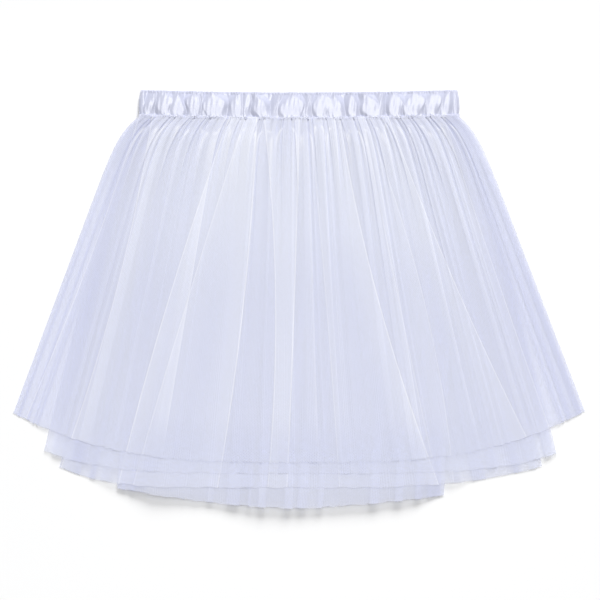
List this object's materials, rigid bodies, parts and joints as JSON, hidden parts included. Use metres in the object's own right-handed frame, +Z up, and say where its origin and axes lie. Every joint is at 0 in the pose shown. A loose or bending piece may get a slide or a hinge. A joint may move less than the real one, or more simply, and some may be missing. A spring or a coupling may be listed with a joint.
{
  "type": "ballet tutu",
  "caption": "Short flared tutu skirt laid flat, with layers of gathered sheer tulle of stepped lengths on a puckered satin-covered elastic waistband.",
  "frame": {"origin": "under the middle of the whole garment's outline, on the surface that it lies on", "axes": "+X to the picture's right, across the waistband, +Y from the hem to the waistband, +Z up off the surface, with the front of the skirt on top"},
  "size_m": [0.5518, 0.4022, 0.0194],
  "materials": {
    "satin": "glossy white satin with a faint lavender cast, gathered over elastic",
    "tulle": "sheer fine white tulle with a lavender cast, matt, softly pleated"
  },
  "bodies": {
    "root": {"waistband": "satin", "tulle_layer_1": "tulle", "tulle_layer_2": "tulle", "tulle_layer_3": "tulle", "tulle_layer_4": "tulle"}
  },
  "joints": []
}
